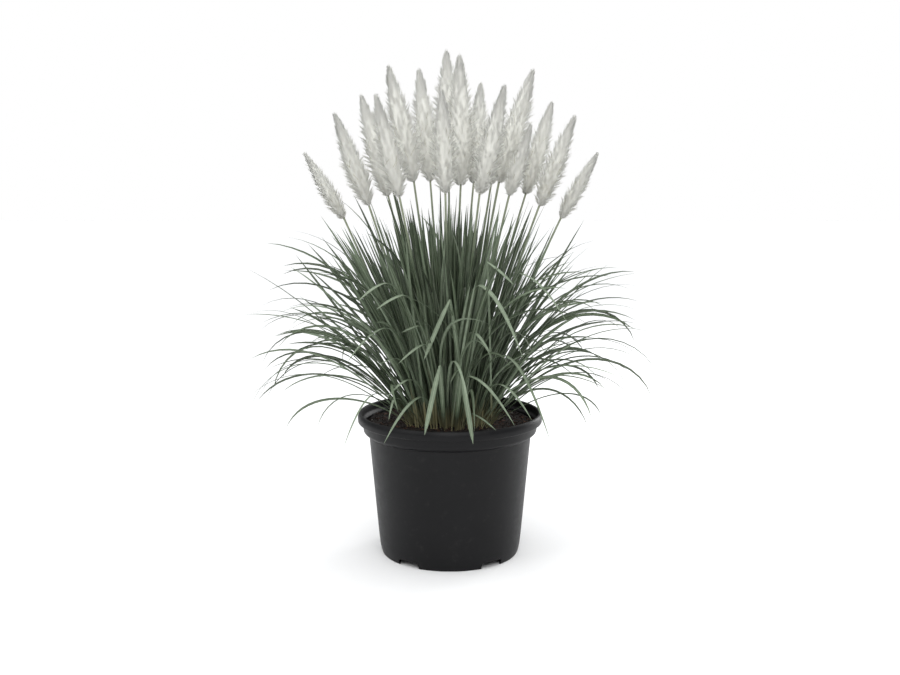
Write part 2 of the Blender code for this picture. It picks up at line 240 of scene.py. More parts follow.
# ---- Materials -------------------------------------------
def add_node(tree, kind, inputs=None, ramp=None, **settings):
    """Adds a node. inputs maps a socket's name or number to a value, or to an output to link."""
    node = tree.nodes.new(kind)
    for name, value in settings.items():
        setattr(node, name, value)
    for name, value in (inputs or {}).items():
        if isinstance(value, bpy.types.NodeSocket):
            tree.links.new(value, node.inputs[name])
        else:
            node.inputs[name].default_value = value
    if ramp:
        stops = node.color_ramp.elements
        while len(stops) < len(ramp):
            stops.new(1.0)
        for stop, (position, colour) in zip(stops, ramp):
            stop.position = position
            stop.color = (*colour, 1.0)
    return node


def start_material(name):
    """An empty node material, its node tree, and the place on the piece in metres."""
    material = bpy.data.materials.new(name)
    material.use_nodes = True
    tree = material.node_tree
    tree.nodes.clear()
    return material, tree, add_node(tree, "ShaderNodeTexCoord").outputs["Object"]


def clouds(tree, place, millimetres, detail, roughness=0.5):
    """Soft noise, from 0 to 1, with features about so many millimetres across."""
    inputs = {"Vector": place, "Scale": 1000 / millimetres, "Detail": detail}
    inputs["Roughness"] = roughness
    return add_node(tree, "ShaderNodeTexNoise", inputs).outputs["Fac"]


def mapped(tree, value, low, high, to_low, to_high):
    """A value moved from one range to another, and kept inside it."""
    inputs = {"Value": value, "From Min": low, "From Max": high}
    inputs |= {"To Min": to_low, "To Max": to_high}
    return add_node(tree, "ShaderNodeMapRange", inputs).outputs["Result"]


def ramped(tree, share, *stops):
    """A colour picked by a share of 0 to 1 from (position, colour) stops."""
    return add_node(tree, "ShaderNodeValToRGB", {"Fac": share}, ramp=stops).outputs["Color"]


def laid_over(tree, share, colour, other):
    """A colour with a share of another colour laid over it."""
    inputs = {0: share, 6: colour, 7: (*other, 1.0)}
    return add_node(tree, "ShaderNodeMix", inputs, data_type="RGBA").outputs[2]


def worked_out(tree, operation, *values):
    """The output of a Math node."""
    inputs = dict(enumerate(values))
    return add_node(tree, "ShaderNodeMath", inputs, operation=operation).outputs["Value"]


def stored(tree, name):
    """A number that the piece stores at each of its points."""
    return add_node(tree, "ShaderNodeAttribute", attribute_name=name).outputs["Fac"]


def bumped(tree, height, strength, distance):
    inputs = {"Height": height, "Strength": strength, "Distance": distance}
    return add_node(tree, "ShaderNodeBump", inputs).outputs["Normal"]


def finish_material(tree, colour, inputs, glow=0.0):
    """Links a Principled shader to the output. glow is the share of light that comes through."""
    inputs = {"Base Color": colour, **inputs}
    surface = add_node(tree, "ShaderNodeBsdfPrincipled", inputs).outputs["BSDF"]
    if glow:
        back = add_node(tree, "ShaderNodeBsdfTranslucent", {"Color": colour}).outputs["BSDF"]
        inputs = {0: glow, 1: surface, 2: back}
        surface = add_node(tree, "ShaderNodeMixShader", inputs).outputs["Shader"]
    add_node(tree, "ShaderNodeOutputMaterial", {"Surface": surface})


def darker(colour, share):
    return tuple(c * share for c in colour)


def moulded_polypropylene(settings):
    """Injection-moulded black polypropylene. The eye sees a soft satin sheen that pales
    towards the sides, a faint orange-peel skin, and a few dull rubs from the potting bench."""
    material, tree, place = start_material("injection_moulded_polypropylene")
    black = tuple(settings.colour)
    # Flow marks from the mould are about 60 mm across, rubs about 15 mm.
    flow = clouds(tree, place, 60, 3.0, 0.55)
    rubs = clouds(tree, place, 15, 6.0, 0.7)
    colour = ramped(tree, flow, (0.35, darker(black, 0.88)), (0.65, darker(black, 1.15)))
    dust = mapped(tree, rubs, 0.56, 0.72, 0.0, 0.045)
    colour = laid_over(tree, dust, colour, linear("#6E6A66"))
    # The skin's pits are about 0.6 mm, drawn at 1.2 mm so that they show.
    skin = clouds(tree, place, 1.2, 2.0)
    inputs = {
        "Roughness": mapped(tree, rubs, 0.3, 0.7, 0.40, 0.52),
        "Normal": bumped(tree, skin, 0.12, 0.0004),
        "IOR": 1.49,
        "Specular IOR Level": 0.21,
    }
    finish_material(tree, colour, inputs)
    return material


def moist_peat(settings):
    """Milled peat, watered in. It is nearly black, with browner fibres that catch the light."""
    material, tree, place = start_material("milled_moist_peat")
    peat = tuple(settings.peat_colour)
    clods = clouds(tree, place, 9, 8.0, 0.7)
    stops = ((0.30, darker(peat, 0.45)), (0.55, peat), (0.75, linear("#3B2A20")))
    # Grit of about 1.5 mm.
    grit = bumped(tree, clouds(tree, place, 1.5, 5.0, 0.8), 0.9, 0.0015)
    inputs = {"Roughness": 0.92, "Normal": grit, "IOR": 1.4}
    finish_material(tree, ramped(tree, clods, *stops), inputs)
    return material


def composted_bark(settings):
    """Composted pine bark, torn into chips: red-brown, layered, with a dark damp side."""
    material, tree, place = start_material("composted_pine_bark")
    bark = tuple(settings.bark_colour)
    chips = clouds(tree, place, 6, 4.0, 0.6)
    stops = ((0.3, darker(bark, 0.35)), (0.5, bark), (0.72, linear("#6B4630")))
    # Growth layers in bark are about 0.8 mm apart.
    layers = bumped(tree, clouds(tree, place, 0.8, 3.0), 0.7, 0.0006)
    inputs = {"Roughness": 0.82, "Normal": layers, "IOR": 1.45}
    finish_material(tree, ramped(tree, chips, *stops), inputs)
    return material


def expanded_perlite():
    """Expanded perlite, popped in a furnace: chalky off-white grains stained by the peat."""
    material, tree, place = start_material("expanded_perlite")
    stain = clouds(tree, place, 4, 4.0)
    colour = ramped(tree, stain, (0.35, linear("#6B6560")), (0.65, linear("#B9B6B0")))
    finish_material(tree, colour, {"Roughness": 0.95, "IOR": 1.5})
    return material


def waxy_grass_blade(settings):
    """A living pampas blade, grown with a waxy bloom. The eye sees a dull grey-green strap,
    paler along its midrib, ribbed lengthways, and straw-coloured where it leaves the soil."""
    material, tree, place = start_material("waxy_grass_blade")
    strap = add_node(tree, "ShaderNodeUVMap", uv_map="blade").outputs["UV"]
    across = add_node(tree, "ShaderNodeSeparateXYZ", {"Vector": strap}).outputs["X"]
    green, bloom = tuple(settings.colour), tuple(settings.bloom_colour)
    # The tone ramp runs from dark green to bloom. Its dark end shows each blade's own tone, and
    # on the front blades it also shows painted shade towards the foot and on the rising arm of a
    # fold.
    stops = ((0.0, darker(green, 0.45)), (0.5, green), (1.0, bloom))
    colour = ramped(tree, stored(tree, "tone"), *stops)
    # Patches where the wax has rubbed off are about 12 mm long.
    rubbed = mapped(tree, clouds(tree, place, 12, 3.0, 0.6), 0.4, 0.7, 0.0, 0.35)
    colour = laid_over(tree, rubbed, colour, darker(green, 0.55))
    # The midrib is a tenth of the blade's width.
    off_midrib = worked_out(tree, "ABSOLUTE", worked_out(tree, "SUBTRACT", across, 0.5))
    midrib = mapped(tree, off_midrib, 0.03, 0.09, 0.45, 0.0)
    colour = laid_over(tree, midrib, colour, linear("#A9B39C"))
    straw = mapped(tree, stored(tree, "height_share"), 0.02, 0.15, 0.72, 0.0)
    colour = laid_over(tree, straw, colour, tuple(settings.base_colour))
    # Real ribs lie 0.5 mm apart. Seven are drawn across a blade, about 1 mm apart, to show.
    rib = worked_out(tree, "SINE", worked_out(tree, "MULTIPLY", across, 7 * 2 * math.pi))
    inputs = {"Roughness": 0.52, "Normal": bumped(tree, rib, 0.35, 0.0003), "IOR": 1.42}
    # A blade is thin enough to glow a little with the light behind it.
    finish_material(tree, colour, inputs, glow=0.10)
    return material


def smooth_green_culm(settings):
    """A grass culm: a smooth hollow stem with a dull wax, paler and yellower towards its top."""
    material, tree, place = start_material("smooth_green_culm")
    green = tuple(settings.colour)
    foot, top = (0.0, linear("#8A8458")), (1.0, linear("#8C917C"))
    share = stored(tree, "height_share")
    colour = ramped(tree, share, foot, (0.15, darker(green, 0.8)), (0.7, green), top)
    mottle = mapped(tree, clouds(tree, place, 10, 4.0), 0.35, 0.7, 0.0, 0.4)
    colour = laid_over(tree, mottle, colour, darker(green, 0.6))
    finish_material(tree, colour, {"Roughness": 0.48, "IOR": 1.42})
    return material


def silky_down(settings):
    """Silky seed down, grown on straw-coloured branchlets. White hairs scatter the light and
    let it through, so a plume has soft shade inside and bright, ragged edges. The colour
    also paints some of that shade in, a little darker deeper in the down."""
    material, tree, place = start_material("silky_down")
    core, down = tuple(settings.core_colour), tuple(settings.down_colour)
    # Paleness 0 is the real straw colour of the branchlets and axis. Above it, down that lies
    # deeper in the plume is painted slightly darker than down at the surface: painted shade.
    stops = ((0.0, core), (0.3, darker(down, 0.94)), (0.7, darker(down, 0.99)), (1.0, down))
    colour = ramped(tree, stored(tree, "paleness"), *stops)
    # Seed husks lie among the lower down, in patches about 7 mm across, fewer on plumes of
    # higher tone. The front plumes get the highest tone, so fewer husks paint them whiter:
    # painted light.
    husks = mapped(tree, clouds(tree, place, 7, 4.0, 0.65), 0.42, 0.68, 0.0, 1.0)
    lower = mapped(tree, stored(tree, "height_share"), 0.05, 0.55, 0.55, 0.06)
    fewer = mapped(tree, stored(tree, "tone"), 0.0, 1.0, 1.0, 0.15)
    share = worked_out(tree, "MULTIPLY", worked_out(tree, "MULTIPLY", husks, lower), fewer)
    colour = laid_over(tree, share, colour, core)
    inputs = {"Roughness": 0.75, "IOR": 1.45, "Specular IOR Level": 0.25}
    finish_material(tree, colour, inputs, glow=0.55)
    return material


def background_paper(settings):
    """Seamless background paper, matt and pulpy, off a roll."""
    material, tree, place = start_material("seamless_background_paper")
    paper = tuple(settings.floor_colour)
    # Clouding in the pulp is about 80 mm across.
    pulp = clouds(tree, place, 80, 3.0)
    colour = ramped(tree, pulp, (0.3, darker(paper, 0.985)), (0.7, paper))
    finish_material(tree, colour, {"Roughness": 0.9, "IOR": 1.45})
    return material


# ---- Meshes ----------------------------------------------
def add_object(name, data):
    """A new object in the scene that holds a mesh, a light or a camera."""
    thing = bpy.data.objects.new(name, data)
    bpy.context.scene.collection.objects.link(thing)
    return thing


def mesh_from(work, name):
    """A mesh that takes over what was built in a BMesh."""
    mesh = bpy.data.meshes.new(name)
    work.to_mesh(mesh)
    work.free()
    return mesh


def ring_places(radius, height, steps):
    """Places round a level ring."""
    angles = [2 * math.pi * i / steps for i in range(steps)]
    return [(radius * math.cos(a), radius * math.sin(a), height) for a in angles]


def mesh_piece(name, points, faces, material, smooth=True):
    """An object from an array of points and an array of faces that all have as many corners."""
    points, faces = np.asarray(points, np.float32), np.asarray(faces, np.int32)
    mesh = bpy.data.meshes.new(name)
    mesh.vertices.add(len(points))
    mesh.vertices.foreach_set("co", points.ravel())
    mesh.loops.add(faces.size)
    mesh.loops.foreach_set("vertex_index", faces.ravel())
    mesh.polygons.add(len(faces))
    mesh.polygons.foreach_set("loop_start", np.arange(0, faces.size, faces.shape[1]))
    mesh.materials.append(material)
    mesh.update(calc_edges=True)
    mesh.validate()
    if smooth:
        mesh.shade_smooth()
    return add_object(name, mesh)


def give_points(piece, name, values):
    """Writes one number for each point, for a material to read."""
    layer = piece.data.attributes.new(name, "FLOAT", "POINT")
    layer.data.foreach_set("value", np.asarray(values, np.float32))


def settle(piece, slot, *solids):
    """Hangs a finished piece on the plant's one body, in place of the solids named."""
    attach(piece, BODY)
    if solids:
        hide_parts(*solids)


def spread(height):
    t = (height - SOIL_TOP) / (REFERENCE_HEIGHT - SOIL_TOP)
    return 0.28 + 0.50 * t + 0.22 * t * t


def on_stem(x, y, height):
    return Vector((x * spread(height), y * spread(height), height))


def rounded(corners, arc_points=4):
    """A turned section from (radius, height, fillet) corners, with each corner rounded off."""
    section = []
    for i, (radius, height, fillet) in enumerate(corners):
        here = Vector((radius, height))
        if not fillet:
            section.append(here)
            continue
        before = Vector(corners[i - 1][:2]) - here
        after = Vector(corners[i + 1][:2]) - here
        fillet = min(fillet, before.length * 0.45, after.length * 0.45)
        start, end = here + before.normalized() * fillet, here + after.normalized() * fillet
        for step in range(arc_points + 1):
            t = step / arc_points
            section.append(start * (1 - t) ** 2 + here * 2 * t * (1 - t) + end * t * t)
    return section


def turned_mesh(name, section, steps):
    """A closed turned mesh. The section starts and ends on the axis."""
    work = bmesh.new()
    rings = []
    for radius, height in section:
        places = ring_places(radius, height, steps if radius else 1)
        rings.append([work.verts.new(place) for place in places])
    for upper, lower in zip(rings, rings[1:]):
        for i in range(steps):
            j = (i + 1) % steps
            corners = [upper[i % len(upper)], lower[i % len(lower)]]
            corners += [lower[j % len(lower)], upper[j % len(upper)]]
            work.faces.new(list(dict.fromkeys(corners)))
    bmesh.ops.recalc_face_normals(work, faces=work.faces)
    return mesh_from(work, name)


# ---- Pot -------------------------------------------------
def pot_section(pot):
    """From the middle of the pot's floor, up the inside, over the rim, down to the foot."""
    rim_foot = pot.height - 0.019
    collar_foot = rim_foot - 0.022
    wall = pot.wall
    floor_top, floor_under = 0.0155, 0.0125
    slope = (pot.wall_top_radius - pot.wall_foot_radius) / (collar_foot - 0.018)
    return rounded(
        (
            (0.0, floor_top, 0.0),
            (pot.wall_foot_radius - wall - 0.001, floor_top, 0.008),
            (pot.wall_top_radius - wall, collar_foot - 0.003, 0.003),
            (pot.collar_radius - wall, collar_foot + 0.005, 0.004),
            (pot.collar_radius - wall + 0.0003, rim_foot - 0.001, 0.003),
            (pot.rim_radius - 0.0085, rim_foot + 0.0045, 0.003),
            (pot.rim_radius - 0.0078, pot.height - 0.0004, 0.0016),
            (pot.rim_radius - 0.0035, pot.height, 0.003),
            (pot.rim_radius - 0.0002, pot.height - 0.0075, 0.0045),
            (pot.rim_radius - 0.0010, rim_foot + 0.001, 0.0022),
            (pot.collar_radius + 0.0010, rim_foot - 0.0005, 0.0012),
            (pot.collar_radius - 0.0012, collar_foot + 0.0045, 0.0035),
            (pot.wall_top_radius + 0.0030, collar_foot - 0.0005, 0.0010),
            (pot.wall_top_radius + 0.0012, collar_foot - 0.0020, 0.0006),
            (pot.wall_top_radius - 0.0002, collar_foot - 0.0022, 0.0006),
            (pot.wall_foot_radius + slope * 0.022, 0.040, 0.012),
            (pot.wall_foot_radius - 0.0005, 0.017, 0.009),
            (pot.foot_radius + 0.0018, 0.0045, 0.004),
            (pot.foot_radius, 0.0, 0.0008),
            (pot.foot_radius - 0.0030, 0.0, 0.0008),
            (pot.foot_radius - 0.0040, floor_under, 0.002),
            (0.022, floor_under, 0.0),
            (0.020, floor_under - 0.0012, 0.0004),
            (0.0, floor_under - 0.0012, 0.0),
        )
    )


def pot_cutters(pot):
    """Boxes for the five drainage notches and rods for the six drain holes."""
    tools = []
    for number in range(5):
        angle = math.radians(-54 + 72 * number)
        work = bmesh.new()
        bmesh.ops.create_cube(work, size=1.0)
        size = (0.036, pot.notch_width, 2 * pot.notch_height)
        bmesh.ops.scale(work, vec=size, verts=work.verts)
        along = [e for e in work.edges if abs(e.verts[0].co.x - e.verts[1].co.x) > 0.01]
        bmesh.ops.bevel(work, geom=along, offset=0.0035, segments=4, affect="EDGES", profile=0.5)
        mesh = mesh_from(work, "notch")
        turn = Matrix.Rotation(angle, 4, "Z")
        mesh.transform(turn @ Matrix.Translation((pot.foot_radius, 0.0, 0.0)))
        tools.append(mesh)
        hole = math.radians(-18 + 72 * number)
        tools.append(drain_rod(0.098 * math.cos(hole), 0.098 * math.sin(hole)))
    tools.append(drain_rod(0.0, 0.0))
    return tools


def drain_rod(x, y):
    work = bmesh.new()
    bmesh.ops.create_cone(
        work, segments=28, radius1=0.008, radius2=0.008, depth=0.02, cap_ends=True
    )
    mesh = mesh_from(work, "drain")
    mesh.transform(Matrix.Translation((x, y, 0.0135)))
    return mesh


class POTTEDGRASS_OT_nursery_pot(bpy.types.Operator):
    """Makes the moulded nursery pot with its rolled rim, collar, notches and drain holes"""

    bl_idname = "potted_grass.nursery_pot"
    bl_label = "Nursery Pot"

    def execute(self, context):
        pot = context.scene.grass_pot
        piece = add_object("pot_moulding", turned_mesh("pot_moulding", pot_section(pot), 180))
        tools = [add_object("cutter", cutter) for cutter in pot_cutters(pot)]
        for tool in tools:
            cut = piece.modifiers.new("cut", "BOOLEAN")
            cut.operation = "DIFFERENCE"
            cut.solver = "EXACT"
            cut.object = tool
        graph = context.evaluated_depsgraph_get()
        finished = bpy.data.meshes.new_from_object(piece.evaluated_get(graph))
        piece.modifiers.clear()
        piece.data = finished
        for tool in tools:
            bpy.data.objects.remove(tool)
        work = bmesh.new()
        work.from_mesh(finished)
        bmesh.ops.remove_doubles(work, verts=work.verts, dist=0.000004)
        bmesh.ops.holes_fill(work, edges=[e for e in work.edges if e.is_boundary])
        work.to_mesh(finished)
        work.free()
        finished.materials.clear()
        finished.materials.append(moulded_polypropylene(pot))
        finished.shade_smooth()
        finished.set_sharp_from_angle(angle=math.radians(38))
        settle(piece, "pot_plastic", "nursery_pot")
        return {"FINISHED"}


# ---- Potting mix -----------------------------------------
def bed_height(x, y):
    """Height of the peat: level, with a few millimetres of hills and a rise under the crown."""
    radius = math.hypot(x, y)
    hills = noise.noise(Vector((x * 26, y * 26, 3.1))) * 0.0024
    lumps = noise.noise(Vector((x * 90, y * 90, 7.7))) * 0.0012
    crown = 0.0035 * math.exp(-((radius / 0.085) ** 4))
    return SOIL_TOP - 0.0022 + hills + lumps + crown


def peat_bed(soil):
    """The peat that fills the pot, as one closed mesh with an uneven top."""
    rings, steps = 46, 120
    work = bmesh.new()
    centre = work.verts.new((0.0, 0.0, bed_height(0.0, 0.0)))
    loops = []
    for ring in range(1, rings + 1):
        radius = soil.radius * ring / rings
        places = ring_places(radius, 0.0, steps)
        loops.append([work.verts.new((x, y, bed_height(x, y))) for x, y, _ in places])
    for radius, height in ((soil.radius, 0.245), (0.153, 0.232), (0.134, 0.0165)):
        loops.append([work.verts.new(place) for place in ring_places(radius, height, steps)])
    for i in range(steps):
        j = (i + 1) % steps
        work.faces.new((centre, loops[0][i], loops[0][j]))
        for inner, outer in zip(loops, loops[1:]):
            work.faces.new((inner[i], outer[i], outer[j], inner[j]))
    work.faces.new(reversed(loops[-1]))
    bmesh.ops.recalc_face_normals(work, faces=work.faces)
    mesh = mesh_from(work, "peat_bed")
    mesh.materials.append(moist_peat(soil))
    mesh.shade_smooth()
    return add_object("peat_bed", mesh)


def lump_shape():
    """The points and faces of a rough grain, 2 units across."""
    work = bmesh.new()
    bmesh.ops.create_icosphere(work, subdivisions=1, radius=1.0)
    points = np.array([v.co for v in work.verts])
    faces = np.array([[v.index for v in f.verts] for f in work.faces])
    work.free()
    return points, faces


def scattered(rng, count, outer):
    """Random places on the bed inside a radius, as x and y."""
    radius = np.sqrt(rng.uniform(0.0, outer**2, count))
    angle = rng.uniform(0, 2 * math.pi, count)
    return np.stack([radius * np.cos(angle), radius * np.sin(angle)], 1)


def turns(rng, count, tilt):
    """Random rotation matrices: any heading, and a tilt of up to so many radians."""
    matrices = []
    for lean, side in rng.uniform(-tilt, tilt, (count, 2)):
        turn = Matrix.Rotation(rng.uniform(0, 2 * math.pi), 3, "Z")
        turn = turn @ Matrix.Rotation(lean, 3, "X") @ Matrix.Rotation(side, 3, "Y")
        matrices.append(np.array(turn))
    return np.array(matrices)


def grains(name, rng, count, least, most, lift, material, outer, tilt):
    """Rough grains lying on the bed. least and most are a length, width and height."""
    shape, faces = lump_shape()
    low, high = np.array(least) / 2, np.array(most) / 2
    share = rng.uniform(0, 1, (count, 1)) ** 2.2
    size = low + (high - low) * share * rng.uniform(0.7, 1.0, (count, 3))
    rough = 1 + rng.uniform(-0.28, 0.28, (count, len(shape), 3))
    points = shape[None] * rough * size[:, None]
    points = np.einsum("nij,nkj->nki", turns(rng, count, tilt), points)
    place = scattered(rng, count, outer)
    height = np.array([bed_height(x, y) for x, y in place]) + size[:, 2] * lift
    points += np.column_stack([place, height])[:, None]
    index = faces[None] + (np.arange(count) * len(shape))[:, None, None]
    return mesh_piece(name, points.reshape(-1, 3), index.reshape(-1, 3), material, smooth=False)


def rod_points(centre, radii, sides):
    """Rings of points round a centre line."""
    centre = np.asarray(centre, float)
    along = np.gradient(centre, axis=0)
    along /= np.linalg.norm(along, axis=1)[:, None]
    side = np.cross(along, (0.31, 0.42, 0.85))
    side /= np.linalg.norm(side, axis=1)[:, None]
    other = np.cross(along, side)
    angle = 2 * math.pi * np.arange(sides) / sides
    radii = np.broadcast_to(radii, len(centre))[:, None, None]
    ring = side[:, None] * np.cos(angle)[:, None] + other[:, None] * np.sin(angle)[:, None]
    return (centre[:, None] + ring * radii).reshape(-1, 3)


def tube_triangles(rings, sides):
    """Triangles of a closed tube whose points run round it ring by ring."""
    ring, j = np.meshgrid(np.arange(rings - 1) * sides, np.arange(sides), indexing="ij")
    a, b = (ring + j).ravel(), (ring + (j + 1) % sides).ravel()
    walls = np.vstack([np.stack([a, b, b + sides], 1), np.stack([a, b + sides, a + sides], 1)])
    fan = np.arange(1, sides - 1)
    foot = np.stack([0 * fan, fan + 1, fan], 1)
    head = np.stack([0 * fan, fan, fan + 1], 1) + (rings - 1) * sides
    return np.vstack([walls, foot, head])


def root_fibres(soil, rng, material):
    """Short curled fibres lying on the peat, as thin closed rods."""
    all_points, all_faces, start = [], [], 0
    for x, y in scattered(rng, soil.fibres, 0.150):
        length = rng.uniform(0.008, 0.030)
        heading, curl = rng.uniform(0, 2 * math.pi), rng.uniform(-2.2, 2.2)
        steps = 6
        place, centre = np.array((x, y)), []
        for i in range(steps):
            rise = 0.0012 + 0.003 * math.sin(math.pi * i / (steps - 1)) * rng.uniform(0.2, 1.0)
            centre.append((*place, bed_height(*place) + rise))
            heading += curl / steps
            place = place + np.array((math.cos(heading), math.sin(heading))) * length / steps
        points = rod_points(centre, rng.uniform(0.0003, 0.0006), 4)
        all_points.append(points)
        all_faces.append(tube_triangles(steps, 4) + start)
        start += len(points)
    return mesh_piece("root_fibres", np.vstack(all_points), np.vstack(all_faces), material)


class POTTEDGRASS_OT_potting_mix(bpy.types.Operator):
    """Makes the peat bed with crumbs, bark chips, perlite grains and fibres lying on it"""

    bl_idname = "potted_grass.potting_mix"
    bl_label = "Potting Mix"

    def execute(self, context):
        soil = context.scene.grass_soil
        rng = np.random.default_rng(SEED)
        bark = composted_bark(soil)
        settle(peat_bed(soil), "potting_mix", "potting_soil")
        peat = bpy.data.materials["milled_moist_peat"]
        perlite = expanded_perlite()
        crumb = (0.0010, 0.0009, 0.0008), (0.0070, 0.0058, 0.0042), 0.35
        chip = (0.0030, 0.0020, 0.0008), (0.0140, 0.0075, 0.0022), 0.8
        grain = (0.0012, 0.0011, 0.0010), (0.0034, 0.0030, 0.0026), 0.6
        loose = (
            grains("peat_crumbs", rng, soil.crumbs, *crumb, peat, 0.160, 1.2),
            grains("bark_chips", rng, soil.chips, *chip, bark, 0.157, 0.45),
            grains("perlite_grains", rng, soil.perlite, *grain, perlite, 0.156, 1.0),
            root_fibres(soil, rng, bark),
        )
        for piece in loose:
            settle(piece, "potting_mix")
        return {"FINISHED"}


# ---- Leaf blades -----------------------------------------
class Blades:
    """Collects many blades into one mesh: points, faces, and what the material reads."""

    def __init__(self):
        self.points, self.faces, self.tones, self.shares, self.across = [], [], [], [], []
        self.count = 0

    def add(self, centre, side, upper, widths, fold, tone, span=(0.0, 1.0)):
        """One closed blade along a centre line. Its section is a shallow V with a solid keel,
        thin at both edges. side and upper are directions at each point of the line, tone is
        its bloom, which on the front blades also carries painted shade, and span says which
        part of a whole leaf it is."""
        half = widths[:, None] / 2
        raised = half * np.sin(fold)[:, None]
        thick = np.maximum(half * 0.085, 0.00008)
        edge = side * half * np.cos(fold)[:, None]
        rows = (
            centre + edge + upper * raised,
            centre + upper * thick,
            centre - edge + upper * raised,
            centre - upper * thick * 1.6,
        )
        rings = len(centre)
        self.points.append(np.stack(rows, 1).reshape(-1, 3))
        base = self.count + 4 * np.arange(rings - 1)
        for j in range(4):
            k = (j + 1) % 4
            self.faces.append(np.stack([base + j, base + k, base + 4 + k, base + 4 + j], 1))
        end = self.count + 4 * (rings - 1)
        self.faces.append(np.array(((3, 2, 1, 0),)) + self.count)
        self.faces.append(np.array(((0, 1, 2, 3),)) + end)
        share = np.linspace(*span, rings)
        self.shares.append(np.repeat(share, 4))
        self.tones.append(np.repeat(np.broadcast_to(tone, rings), 4))
        self.across.append(np.tile((0.0, 0.5, 1.0, 0.5), rings))
        self.count += 4 * rings

    def piece(self, name, material):
        points = np.vstack(self.points)
        faces = np.vstack(self.faces)
        piece = mesh_piece(name, points, faces, material)
        give_points(piece, "tone", np.concatenate(self.tones))
        give_points(piece, "height_share", np.concatenate(self.shares))
        across, share = np.concatenate(self.across), np.concatenate(self.shares)
        corners = np.zeros(len(piece.data.loops), np.int32)
        piece.data.loops.foreach_get("vertex_index", corners)
        layer = piece.data.uv_layers.new(name="blade")
        layer.data.foreach_set("uv", np.stack([across[corners], share[corners]], 1).ravel())
        piece.data.set_sharp_from_angle(angle=math.radians(55))
        return piece


def blade_widths(count, width, foot_share=0.55):
    """Full width at each point: narrow at the foot, full from a quarter on, then to a point."""
    t = np.linspace(0, 1, count)
    rise = foot_share + (1 - foot_share) * np.clip(t / 0.25, 0, 1)
    fall = 1 - np.clip((t - 0.55) / 0.45, 0, 1) ** 3.6
    return width * np.maximum(rise * fall, 0.03)


def arching_line(foot, heading, length, lean, tip_lean, bend, drift, count):
    """A blade's centre line with its side and upper directions. It leans from lean to tip_lean,
    both from the vertical, and its heading turns by drift. bend above 1 bends the tip most."""
    t = np.linspace(0, 1, count)
    leans = lean + (tip_lean - lean) * t**bend
    heads = heading + drift * t
    middle_lean = (leans[:-1] + leans[1:]) / 2
    middle_head = (heads[:-1] + heads[1:]) / 2
    steps = np.stack(
        [
            np.sin(middle_lean) * np.cos(middle_head),
            np.sin(middle_lean) * np.sin(middle_head),
            np.cos(middle_lean),
        ],
        1,
    ) * (length / (count - 1))
    centre = np.vstack([foot, foot + np.cumsum(steps, 0)])
    along = np.stack(
        [np.sin(leans) * np.cos(heads), np.sin(leans) * np.sin(heads), np.cos(leans)], 1
    )
    side = np.stack([-np.sin(heads), np.cos(heads), np.zeros(count)], 1)
    return centre, side, np.cross(along, side)


def twisted(side, upper, turn):
    """Side and upper directions turned about the blade, by so many radians at each point."""
    cos, sin = np.cos(turn)[:, None], np.sin(turn)[:, None]
    return side * cos + upper * sin, upper * cos - side * sin


def facing(centre, face):
    """Side and upper directions for a blade whose upper face looks as nearly along face, a
    direction or one for each point, as its own line lets it."""
    along = np.gradient(centre, axis=0)
    along /= np.linalg.norm(along, axis=1)[:, None]
    face = np.broadcast_to(face, centre.shape)
    upper = face - along * np.sum(face * along, axis=1)[:, None]
    upper /= np.linalg.norm(upper, axis=1)[:, None]
    return np.cross(upper, along), upper


def rolled_out(centre):
    """Side and upper directions for an arching blade: the upper face looks up at the top of
    the arch, and rolls outwards the more the blade runs round the clump."""
    along = np.gradient(centre, axis=0)
    heading = centre[-1] - centre[0]
    across = np.array((-heading[1], heading[0], 0.0)) / math.hypot(heading[0], heading[1])
    out = centre.mean(axis=0)
    out = np.array((out[0], out[1], 0.0)) / math.hypot(out[0], out[1])
    if across @ out < 0:
        across = -across
    level = np.cross(along, across)
    level *= np.sign(level[np.abs(along[:, 2]).argmin(), 2])
    level /= np.linalg.norm(level, axis=1)[:, None]
    roll = 0.95 * (across @ out)
    return facing(centre, level * math.cos(roll) + across * math.sin(roll))


def bent(start, middle, end, steps):
    """Points on a parabola from start to end, drawn towards middle."""
    t = np.linspace(0, 1, steps)[:, None]
    start, middle, end = (np.asarray(p, float) for p in (start, middle, end))
    return start * (1 - t) ** 2 + middle * 2 * t * (1 - t) + end * t * t


